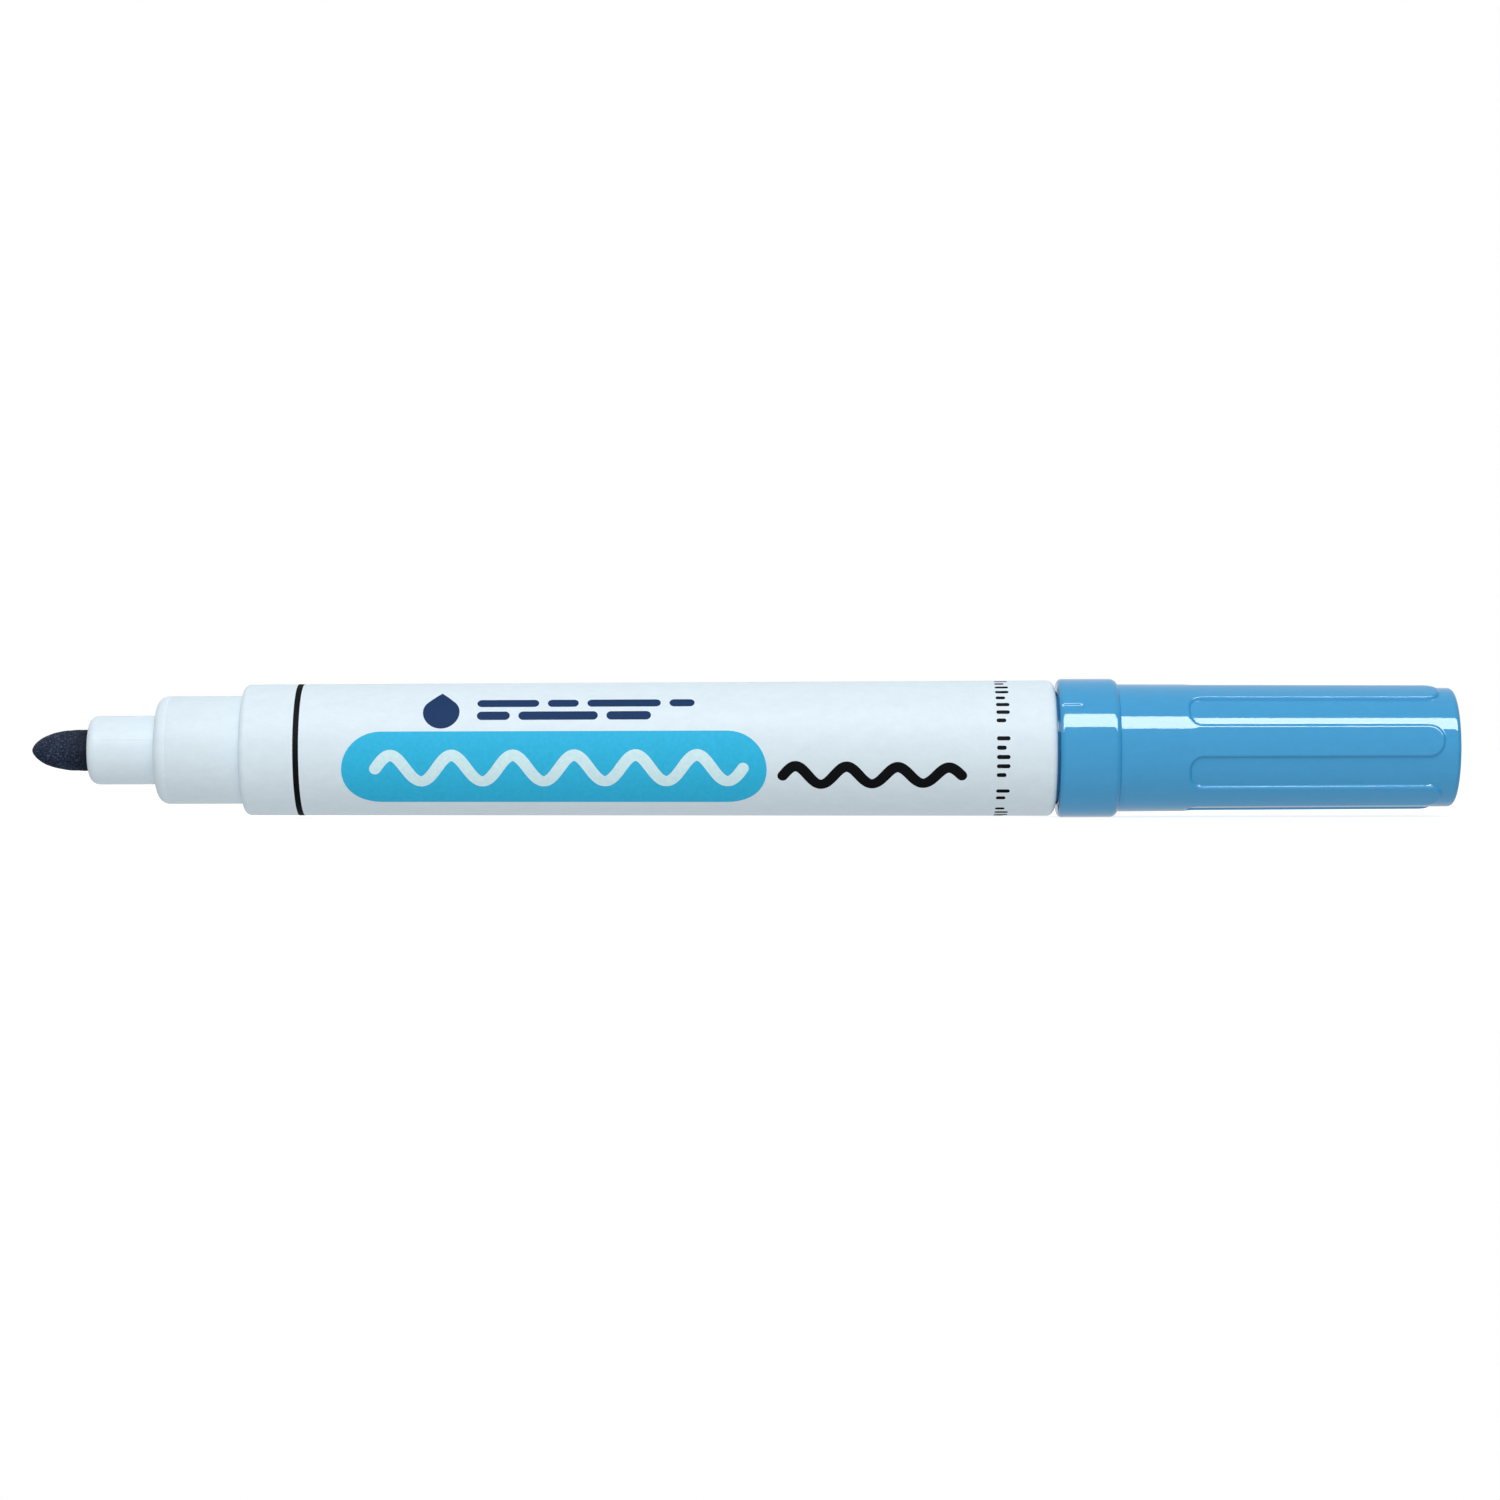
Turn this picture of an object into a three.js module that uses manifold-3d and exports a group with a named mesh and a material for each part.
// A round whiteboard marker with its cap posted on the rear end.
// Millimetres, +Z up. The marker lies along X with its nib towards -X, on a table at Z = 0,
// and the origin is under the middle of its length.
// A station is a place along the marker's axis, counted from the nib's tip, and is named ...X.
import * as THREE from "three";
import { mergeVertices } from "three/addons/utils/BufferGeometryUtils.js";
import Module from "manifold-3d";

const wasm = await Module();
wasm.setup();

// Driving dimensions.
const FACETS = 32; // flats round every turned shape
const ARC_STEPS = 3;
const FIT = 0.05; // gap between pieces that are pressed or slid together
const SEAM = 0.3; // gap between the cap's mouth and the shoulder it closes against
const PLAY = 0.3; // gap at the ends of the pieces that float inside the barrel
const SUNK = 0.3; // how far a rib is sunk into the wall that it stands on

const nib = { diameter: 4.3, length: 31, exposed: 6.1, taper: 5.7, endChamfer: 0.6 };
const nose = { diameter: 7.2, length: 7.2, round: 1.05 };
const seat = { diameter: 11.3, length: 9.1, round: 1.2 }; // the cap grips this at either end
const barrel = {
  frontDiameter: 13.7,
  rearDiameter: 14.2,
  length: 84.7,
  frontRound: 0.7,
  rearRound: 0.8,
  lip: 1.2,
  bore: 11.8,
  counterbore: 12.2,
};
const ribs = { count: 6, width: 0.8, endGap: 3 };
const holder = { flange: 1.15, skirt: 8, sleeveDiameter: 6.6, ventCount: 4, ventWidth: 0.6, ventDepth: 0.45 };
const reservoir = { diameter: 10, film: 0.1, length: 73.1, clearance: 0.15 };
const plug = { grip: 10, stickOut: 9.7, wall: 1.2, fin: 1, leadIn: 0.4 };
const seatHollow = 9.1; // diameter of the hollow behind each cap seat
const cap = {
  length: 41.5,
  collarDiameter: 14.5,
  collarLength: 5.5,
  chamfer: 0.8,
  bodyDiameter: 13.36,
  endDiameter: 13.12,
  endWall: 1.2,
  round: 0.4,
  leadIn: 0.3,
  boreDepth: 11.55,
  rearBoreDiameter: 10.4,
};
// Angles of the cap's features are turns about the axis from straight up towards the label's side.
const notch = { start: 0.25, length: 2.05, width: 0.65, depth: 0.12, turnDeg: 53.8 };
const fingers = { count: 6, depth: 0.33, start: 13.55, end: 39.75, turnDeg: 23.2 };
const liner = {
  mouth: 10.3,
  bore: 7.3,
  depth: 13.1,
  wall: 1.05,
  bottom: 1.1,
  flange: 1.15,
  leadIn: 0.6,
  round: 0.5,
};

// Stations.
const noseX = nib.exposed;
const seatX = noseX + nose.length;
const barrelX = seatX + seat.length;
const barrelEndX = barrelX + barrel.length;
const plugEndX = barrelEndX + plug.stickOut;
const capX = barrelEndX + SEAM;
const capEndX = capX + cap.length;
const lipX = barrelX + barrel.lip;
const flangeX = lipX + FIT;
const bulkheadX = flangeX + holder.flange;
const reservoirX = bulkheadX + PLAY;
const reservoirEndX = reservoirX + reservoir.length;
const plugX = barrelEndX - plug.grip;

// Radii that several pieces share.
const nibRadius = nib.diameter / 2;
const seatRadius = seat.diameter / 2;
const hollowRadius = seatHollow / 2;
const barrelBore = barrel.bore / 2;
const counterbore = barrel.counterbore / 2;
const reservoirRadius = reservoir.diameter / 2;
const reservoirBore = reservoirRadius + reservoir.clearance;
const collarRadius = cap.collarDiameter / 2;

const plastic = (color, roughness) => new THREE.MeshStandardMaterial({ color, roughness, metalness: 0 });
const materials = {
  white: plastic(0xdfe9f0, 0.45),
  blue: plastic(0x4797cd, 0.2),
  liner: plastic(0xe8ecee, 0.5),
  nib: plastic(0x232c3b, 0.9),
  fibre: plastic(0x2f6f9f, 0.95),
  film: plastic(0xcfe3ee, 0.25),
};

const radians = THREE.MathUtils.degToRad;

// Points [station, radius] of an arc; angles in degrees from +X towards larger radius.
function arc(centreX, centreR, radius, from, to) {
  return Array.from({ length: ARC_STEPS + 1 }, (_, i) => {
    const a = radians(from + ((to - from) * i) / ARC_STEPS);
    return [centreX + radius * Math.cos(a), centreR + radius * Math.sin(a)];
  });
}

// The rounded corner between a face at the given station and the outside, in front of it or behind it.
const frontCorner = (x, radius, round) => arc(x + round, radius - round, round, 180, 90);
const rearCorner = (x, radius, round) => arc(x - round, radius - round, round, 90, 0);

// A shape turned about the marker's axis, from [station, radius] points that run rearwards outside.
function revolve(profile) {
  const points = profile.map(([x, r]) => new THREE.Vector2(Math.max(r, 0), x));
  return new THREE.LatheGeometry(points, FACETS, Math.PI / FACETS).rotateZ(-Math.PI / 2);
}

// A turned tube or cup whose section closes on itself.
const revolveLoop = (profile) => revolve([...profile, profile[0]]);

// A box between two stations and two heights above the axis, turned about the axis.
function radialSlab(fromX, toX, fromR, toR, width, turnDeg) {
  return new THREE.BoxGeometry(toX - fromX, width, toR - fromR)
    .translate((fromX + toX) / 2, 0, (fromR + toR) / 2)
    .rotateX(radians(turnDeg));
}

function toSolid(geometry) {
  const bare = new THREE.BufferGeometry().setAttribute("position", geometry.getAttribute("position"));
  bare.setIndex(geometry.index);
  const merged = mergeVertices(bare, 1e-4);
  return new wasm.Manifold(
    new wasm.Mesh({
      numProp: 3,
      vertProperties: merged.attributes.position.array,
      triVerts: new Uint32Array(merged.index.array),
    }),
  );
}

function toGeometry(solid) {
  const mesh = solid.getMesh();
  const geometry = new THREE.BufferGeometry();
  geometry.setAttribute("position", new THREE.BufferAttribute(mesh.vertProperties, 3));
  geometry.setIndex(new THREE.BufferAttribute(mesh.triVerts, 1));
  geometry.computeVertexNormals();
  return geometry;
}

// Evenly spaced turns about the axis.
const spread = (count, first = 0) => Array.from({ length: count }, (_, i) => first + (360 * i) / count);

const join = (whole, pieces) => pieces.reduce((sum, geometry) => sum.add(toSolid(geometry)), whole);
const cut = (whole, pieces) => pieces.reduce((left, geometry) => left.subtract(toSolid(geometry)), whole);

// A pressed fibre rod with a bullet tip; its rear end feeds on the reservoir.
function nibGeometry() {
  const steps = 7;
  const fullness = 2.6; // how soon the tip swells to the rod's width
  const bluntness = 0.6; // 0.5 is a round end, 1 a pointed one
  const tip = Array.from({ length: steps + 1 }, (_, i) => {
    const share = (i / steps) ** 2;
    return [nib.taper * share, nibRadius * (1 - (1 - share) ** fullness) ** bluntness];
  });
  return revolve([
    ...tip,
    [nib.length - nib.endChamfer, nibRadius],
    [nib.length, nibRadius - nib.endChamfer],
    [nib.length, 0],
  ]);
}

// The nose, the front cap seat, and behind them a flange that stops on the barrel's lip and a skirt round
// the reservoir. It goes in from the barrel's rear end. Four grooves along the nib let air back in.
function nibHolderGeometry() {
  const nibHole = nibRadius + FIT;
  const skirtRadius = barrelBore - 3 * FIT;
  const skirtEndX = reservoirX + holder.skirt;
  const sleeveRadius = holder.sleeveDiameter / 2;
  const hollowX = seatX + seat.round + nose.round;
  const body = revolveLoop([
    [noseX, nibHole],
    ...frontCorner(noseX, nose.diameter / 2, nose.round),
    [seatX, nose.diameter / 2],
    ...frontCorner(seatX, seatRadius, seat.round),
    [flangeX, seatRadius],
    [flangeX, barrelBore - FIT],
    [bulkheadX, barrelBore - FIT],
    [bulkheadX, skirtRadius],
    [skirtEndX, skirtRadius],
    [skirtEndX, reservoirBore],
    [bulkheadX, reservoirBore],
    [bulkheadX, hollowRadius],
    [hollowX, hollowRadius],
    [hollowX, sleeveRadius],
    [bulkheadX, sleeveRadius],
    [bulkheadX, nibHole],
  ]);
  const ventRadius = nibRadius + holder.ventDepth;
  const vents = spread(holder.ventCount, 180 / holder.ventCount).map((turn) =>
    radialSlab(noseX - 1, bulkheadX + 1, nibRadius / 2, ventRadius, holder.ventWidth, turn),
  );
  return toGeometry(cut(toSolid(body), vents));
}

// A drafted tube, wider at the rear. Its front end turns in to a lip, and its rear bore is stepped to stop
// the plug. Six ribs inside centre the reservoir and leave air channels between them.
function barrelGeometry() {
  const stopX = plugX - FIT;
  const tube = revolveLoop([
    [barrelX, seatRadius + FIT],
    ...frontCorner(barrelX, barrel.frontDiameter / 2, barrel.frontRound),
    ...rearCorner(barrelEndX, barrel.rearDiameter / 2, barrel.rearRound),
    [barrelEndX, counterbore],
    [stopX, counterbore],
    [stopX, barrelBore],
    [lipX, barrelBore],
    [lipX, seatRadius + FIT],
  ]);
  const ribX = reservoirX + holder.skirt + ribs.endGap;
  const ribSlabs = spread(ribs.count).map((turn) =>
    radialSlab(ribX, stopX - ribs.endGap, reservoirBore, barrelBore + SUNK, ribs.width, turn),
  );
  return toGeometry(join(toSolid(tube), ribSlabs));
}

// A rod of ink-soaked fibre with a pocket that the nib's rear end sits in.
function reservoirCoreGeometry() {
  const radius = reservoirRadius - reservoir.film - FIT;
  const pocketEndX = nib.length + PLAY;
  return revolve([
    [pocketEndX, 0],
    [pocketEndX, nibRadius + FIT],
    [reservoirX, nibRadius + FIT],
    [reservoirX, radius],
    [reservoirEndX, radius],
    [reservoirEndX, 0],
  ]);
}

// The film wrapped round the fibre, open at both ends.
function reservoirFilmGeometry() {
  return revolveLoop([
    [reservoirX, reservoirRadius - reservoir.film],
    [reservoirX, reservoirRadius],
    [reservoirEndX, reservoirRadius],
    [reservoirEndX, reservoirRadius - reservoir.film],
  ]);
}

// A cup pressed into the barrel's rear end. The part that sticks out is a second cap seat, and crossed
// fins inside hold the reservoir forward.
function rearPlugGeometry() {
  const skirtRadius = counterbore - FIT;
  const floorX = plugEndX - plug.wall;
  const stepX = barrelEndX - plug.wall;
  const cup = revolveLoop([
    [plugX, reservoirBore],
    [plugX, skirtRadius - plug.leadIn],
    [plugX + plug.leadIn, skirtRadius],
    [barrelEndX, skirtRadius],
    [barrelEndX, seatRadius],
    ...rearCorner(plugEndX, seatRadius, seat.round),
    [plugEndX, 0],
    [floorX, 0],
    [floorX, hollowRadius],
    [stepX, hollowRadius],
    [stepX, reservoirBore],
  ]);
  const finReach = hollowRadius + SUNK;
  const fins = [0, 90].map((turn) =>
    radialSlab(reservoirEndX + PLAY, floorX + SUNK, -finReach, finReach, plug.fin, turn),
  );
  return toGeometry(join(toSolid(cup), fins));
}

// Radius of the cap's full body, and of its recessed ground, which share one draft.
function capRadius(x) {
  const share = (x - capX - cap.collarLength) / (cap.length - cap.collarLength);
  return (cap.bodyDiameter + (cap.endDiameter - cap.bodyDiameter) * share) / 2;
}

// Outline of one finger seen from outside: straight sides and a round tip.
function fingerOutline(rootX, tipX, halfWidth) {
  const outline = new THREE.Shape();
  outline.moveTo(rootX, -halfWidth);
  outline.lineTo(tipX - halfWidth, -halfWidth);
  outline.absarc(tipX - halfWidth, 0, halfWidth, -Math.PI / 2, Math.PI / 2);
  outline.lineTo(rootX, halfWidth);
  outline.closePath();
  return outline;
}

// Everything at full height: the collar with its index notch, the body behind it with six rounded bays cut
// into its rear edge, and six fingers that run on between the bays.
function raisedCapSolid() {
  const chamferX = capX + cap.collarLength;
  const bodyX = chamferX + cap.chamfer;
  const bayX = capX + fingers.start;
  const tipX = capX + fingers.end;
  const halfPitch = 180 / fingers.count;
  const halfWidth = capRadius(bayX) * Math.sin(radians(halfPitch / 2));
  const rootX = bayX + halfWidth;
  const reach = 2 * collarRadius;
  const turnedTo = (x) =>
    toSolid(
      revolve([
        [capX, 0],
        ...frontCorner(capX, collarRadius, cap.round),
        [chamferX, collarRadius],
        [bodyX, capRadius(bodyX)],
        [x, capRadius(x)],
        [x, 0],
      ]),
    );

  const bays = spread(fingers.count, fingers.turnDeg + halfPitch).map((turn) =>
    new THREE.CylinderGeometry(halfWidth, halfWidth, reach, 20)
      .rotateX(Math.PI / 2)
      .translate(rootX, 0, reach / 2)
      .rotateX(radians(turn)),
  );
  const slabs = spread(fingers.count, fingers.turnDeg).map((turn) =>
    new THREE.ExtrudeGeometry(fingerOutline(bayX, tipX, halfWidth), {
      depth: reach,
      bevelEnabled: false,
      curveSegments: 8,
    }).rotateX(radians(turn)),
  );
  const notchSlab = radialSlab(
    capX + notch.start,
    capX + notch.start + notch.length,
    collarRadius - notch.depth,
    reach,
    notch.width,
    notch.turnDeg,
  );
  const full = turnedTo(tipX);
  const root = cut(turnedTo(rootX), [...bays, notchSlab]);
  return slabs.reduce((whole, slab) => whole.add(full.intersect(toSolid(slab))), root);
}

// A cup with a thick collar at its mouth. Raised fingers and the recesses between them give it grip. The
// front bore slides over either cap seat, and the step behind it carries the liner.
function capShellGeometry() {
  const groundX = capX + cap.collarLength;
  const groundRadius = (x) => capRadius(x) - fingers.depth;
  const ground = revolve([
    [groundX, 0],
    [groundX, groundRadius(groundX)],
    ...rearCorner(capEndX, groundRadius(capEndX), cap.round),
    [capEndX, 0],
  ]);
  const bore = seatRadius + FIT;
  const rearBore = cap.rearBoreDiameter / 2;
  const stepX = capX + cap.boreDepth;
  const floorX = capEndX - cap.endWall;
  const cavity = revolve([
    [capX - 1, 0],
    [capX - 1, bore + cap.leadIn],
    [capX, bore + cap.leadIn],
    [capX + cap.leadIn, bore],
    [stepX, bore],
    [stepX, rearBore],
    [floorX, rearBore],
    [floorX, 0],
  ]);
  return toGeometry(cut(join(raisedCapSolid(), [ground]), [cavity]));
}

// The inner cap: a flanged cup that closes round the nose when the marker is capped, so that the nib
// doesn't dry.
function capLinerGeometry() {
  const mouthX = capX + liner.mouth;
  const flangeEndX = mouthX + liner.flange;
  const floorX = mouthX + liner.depth;
  const bore = liner.bore / 2;
  return revolve([
    [floorX, 0],
    [floorX, bore],
    [mouthX + liner.leadIn, bore],
    [mouthX, bore + liner.leadIn],
    [mouthX, seatRadius],
    [flangeEndX, seatRadius],
    [flangeEndX, bore + liner.wall],
    ...rearCorner(floorX + liner.bottom, bore + liner.wall, liner.round),
    [floorX + liner.bottom, 0],
  ]);
}

function piece(name, geometry, material) {
  const mesh = new THREE.Mesh(geometry, material);
  mesh.name = name;
  return mesh;
}

const marker = new THREE.Group();
marker.add(
  piece("nib", nibGeometry(), materials.nib),
  piece("nib_holder", nibHolderGeometry(), materials.white),
  piece("barrel", barrelGeometry(), materials.white),
  piece("reservoir_core", reservoirCoreGeometry(), materials.fibre),
  piece("reservoir_film", reservoirFilmGeometry(), materials.film),
  piece("rear_plug", rearPlugGeometry(), materials.blue),
  piece("cap_shell", capShellGeometry(), materials.blue),
  piece("cap_liner", capLinerGeometry(), materials.liner),
);
// The collar is the widest ring, and one of its flats lies on the table.
marker.position.set(-capEndX / 2, 0, collarRadius * Math.cos(Math.PI / FACETS));

export default marker;
